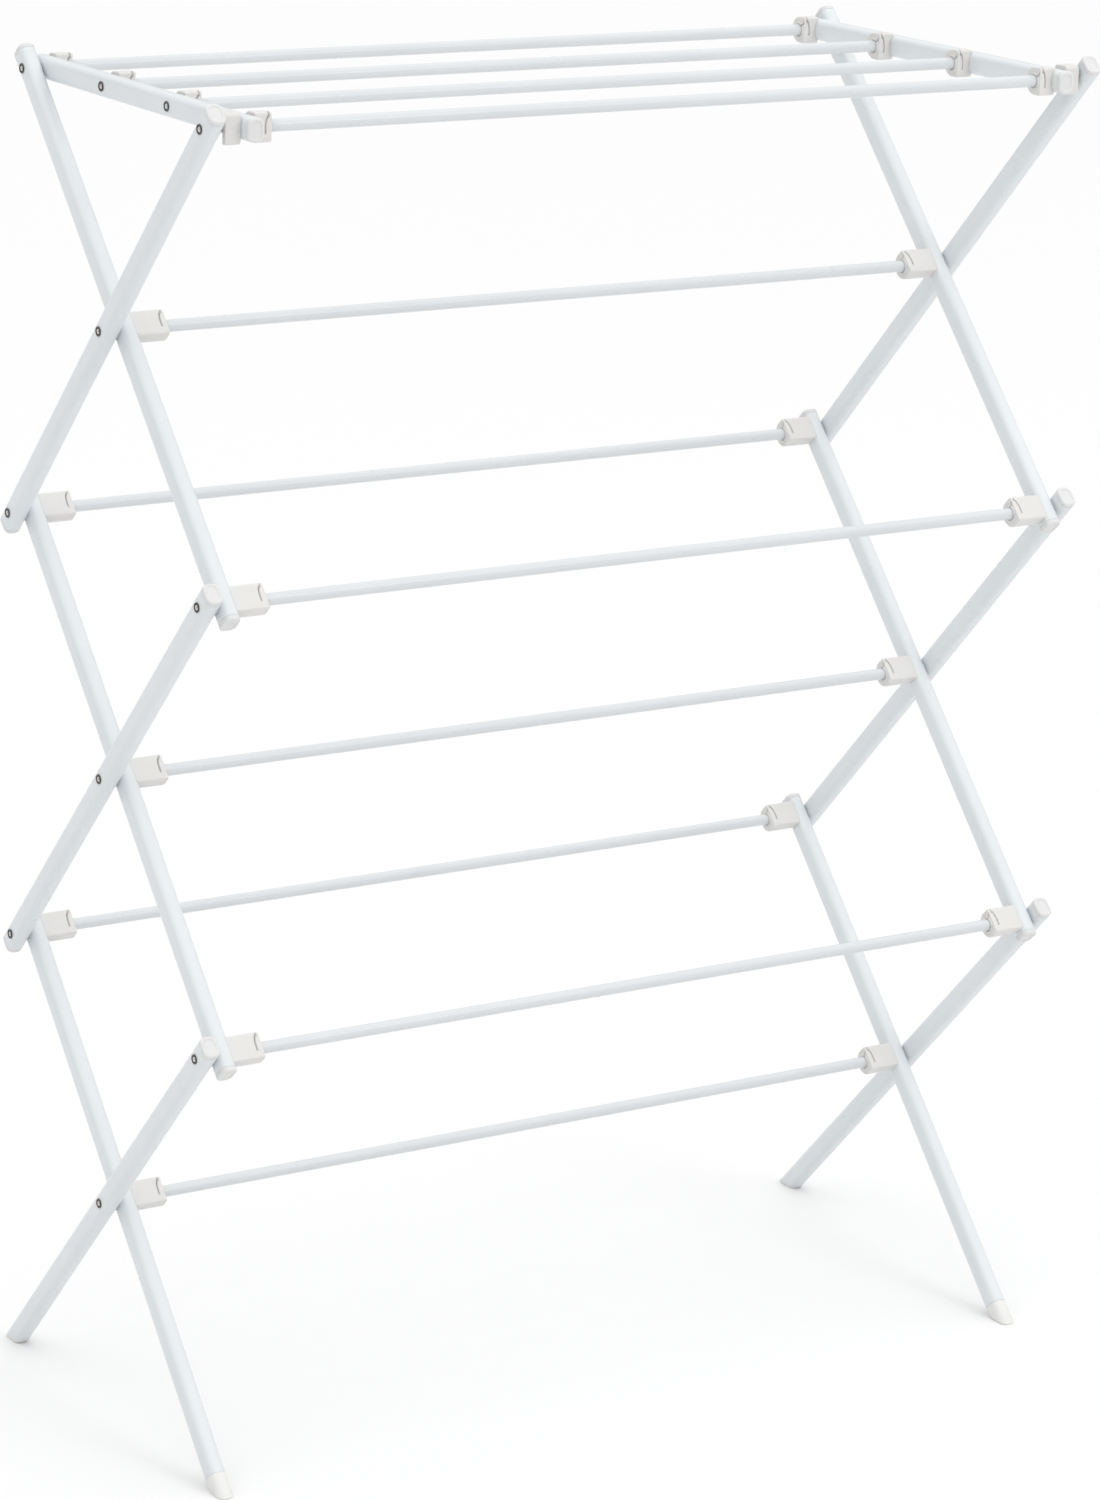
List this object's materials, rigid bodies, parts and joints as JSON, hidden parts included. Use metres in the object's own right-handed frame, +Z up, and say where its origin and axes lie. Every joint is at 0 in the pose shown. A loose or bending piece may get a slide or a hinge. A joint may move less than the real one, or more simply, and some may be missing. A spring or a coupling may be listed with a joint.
{
  "type": "folding clothes drying rack",
  "caption": "Folding scissor-frame drying rack of white tube, with rods across and a level top shelf hooked open.",
  "frame": {"origin": "on the floor, under the middle of the open rack", "axes": "+X along the rods, to the right seen from the front; +Y to the back; +Z up"},
  "size_m": [0.7522, 0.3554, 1.0251],
  "materials": {
    "bar_paint": "smooth satin powder coat",
    "rail_paint": "smooth satin powder coat",
    "rod_paint": "smooth satin powder coat",
    "clip_plastic": "satin moulded plastic",
    "hook_plastic": "satin moulded plastic",
    "cap_plastic": "satin moulded plastic",
    "foot_plastic": "satin moulded plastic",
    "washer_plastic": "matt",
    "rivet_steel": "plated, slightly worn",
    "latch_pin_steel": "plated"
  },
  "bodies": {
    "lower_axle": {"lower_cross_rod": "rod_paint", "lower_cross_rivets": "rivet_steel"},
    "front_leg_frame": {"front_leg_left": "bar_paint", "front_leg_right": "bar_paint", "lower_back_rod": "rod_paint", "lower_back_clips": "clip_plastic", "lower_cross_clips": "clip_plastic", "lower_frame_rivets": "rivet_steel", "lower_washers": "washer_plastic", "front_leg_caps": "cap_plastic", "front_feet": "foot_plastic"},
    "left_back_leg": {"back_leg_left": "bar_paint", "back_leg_cap_left": "cap_plastic", "back_foot_left": "foot_plastic"},
    "right_back_leg": {"back_leg_right": "bar_paint", "back_leg_cap_right": "cap_plastic", "back_foot_right": "foot_plastic"},
    "left_middle_outer": {"middle_outer_bar_left": "bar_paint", "middle_outer_bar_caps_left": "cap_plastic"},
    "right_middle_outer": {"middle_outer_bar_right": "bar_paint", "middle_outer_bar_caps_right": "cap_plastic"},
    "middle_frame": {"middle_inner_bar_left": "bar_paint", "middle_inner_bar_right": "bar_paint", "lower_front_rod": "rod_paint", "lower_front_clips": "clip_plastic", "middle_cross_rod": "rod_paint", "middle_cross_clips": "clip_plastic", "upper_back_rod": "rod_paint", "upper_back_clips": "clip_plastic", "middle_frame_rivets": "rivet_steel", "middle_washers": "washer_plastic", "middle_inner_bar_caps": "cap_plastic"},
    "left_upper_outer": {"upper_outer_bar_left": "bar_paint", "upper_outer_bar_caps_left": "cap_plastic", "latch_pin_left": "latch_pin_steel"},
    "right_upper_outer": {"upper_outer_bar_right": "bar_paint", "upper_outer_bar_caps_right": "cap_plastic", "latch_pin_right": "latch_pin_steel"},
    "upper_frame": {"upper_inner_bar_left": "bar_paint", "upper_inner_bar_right": "bar_paint", "upper_front_rod": "rod_paint", "upper_front_clips": "clip_plastic", "upper_cross_rod": "rod_paint", "upper_cross_clips": "clip_plastic", "upper_frame_rivets": "rivet_steel", "upper_washers": "washer_plastic", "upper_inner_bar_caps": "cap_plastic"},
    "shelf_axle": {"shelf_rod_1": "rod_paint", "shelf_pivot_rivets": "rivet_steel"},
    "shelf": {"shelf_rail_left": "rail_paint", "shelf_rail_right": "rail_paint", "shelf_rod_2": "rod_paint", "shelf_rod_3": "rod_paint", "shelf_rod_4": "rod_paint", "shelf_clips": "clip_plastic", "shelf_rail_rivets": "rivet_steel", "shelf_rail_caps": "cap_plastic", "latch_hooks": "hook_plastic"}
  },
  "joints": [
    {"name": "fold", "type": "hinge", "parent": "lower_axle", "child": "front_leg_frame", "pos_m": [0, 0, 0.174], "axis": [1, 0, 0], "range_deg": [0, 38.6]},
    {"name": "left_back_leg_swing", "type": "hinge", "parent": "lower_axle", "child": "left_back_leg", "pos_m": [-0.3685, 0, 0.174], "axis": [-1, 0, 0], "range_deg": [0, 38.6]},
    {"name": "right_back_leg_swing", "type": "hinge", "parent": "lower_axle", "child": "right_back_leg", "pos_m": [0.3685, 0, 0.174], "axis": [-1, 0, 0], "range_deg": [0, 38.6]},
    {"name": "left_middle_outer_swing", "type": "hinge", "parent": "front_leg_frame", "child": "left_middle_outer", "pos_m": [-0.3685, 0.159, 0.3407], "axis": [-1, 0, 0], "range_deg": [0, 77.2]},
    {"name": "right_middle_outer_swing", "type": "hinge", "parent": "front_leg_frame", "child": "right_middle_outer", "pos_m": [0.3685, 0.159, 0.3407], "axis": [-1, 0, 0], "range_deg": [0, 77.2]},
    {"name": "middle_frame_swing", "type": "hinge", "parent": "left_middle_outer", "child": "middle_frame", "pos_m": [-0.3548, 0, 0.5074], "axis": [1, 0, 0], "range_deg": [0, 77.2]},
    {"name": "left_upper_outer_swing", "type": "hinge", "parent": "middle_frame", "child": "left_upper_outer", "pos_m": [-0.3685, 0.159, 0.6741], "axis": [-1, 0, 0], "range_deg": [0, 77.2]},
    {"name": "right_upper_outer_swing", "type": "hinge", "parent": "middle_frame", "child": "right_upper_outer", "pos_m": [0.3685, 0.159, 0.6741], "axis": [-1, 0, 0], "range_deg": [0, 77.2]},
    {"name": "upper_frame_swing", "type": "hinge", "parent": "left_upper_outer", "child": "upper_frame", "pos_m": [-0.3548, 0, 0.8408], "axis": [1, 0, 0], "range_deg": [0, 77.2]},
    {"name": "shelf_axle_swing", "type": "hinge", "parent": "upper_frame", "child": "shelf_axle", "pos_m": [0, 0.159, 1.0075], "axis": [-1, 0, 0], "range_deg": [0, 38.6]},
    {"name": "shelf_lift", "type": "hinge", "parent": "shelf_axle", "child": "shelf", "pos_m": [0, 0.159, 1.0075], "axis": [-1, 0, 0], "range_deg": [0, 262]}
  ],
  "couplings": [
    {"joint": "left_back_leg_swing", "follows": "fold", "ratio": 1},
    {"joint": "right_back_leg_swing", "follows": "fold", "ratio": 1},
    {"joint": "left_middle_outer_swing", "follows": "fold", "ratio": 2},
    {"joint": "right_middle_outer_swing", "follows": "fold", "ratio": 2},
    {"joint": "middle_frame_swing", "follows": "fold", "ratio": 2},
    {"joint": "left_upper_outer_swing", "follows": "fold", "ratio": 2},
    {"joint": "right_upper_outer_swing", "follows": "fold", "ratio": 2},
    {"joint": "upper_frame_swing", "follows": "fold", "ratio": 2},
    {"joint": "shelf_axle_swing", "follows": "fold", "ratio": 1}
  ]
}
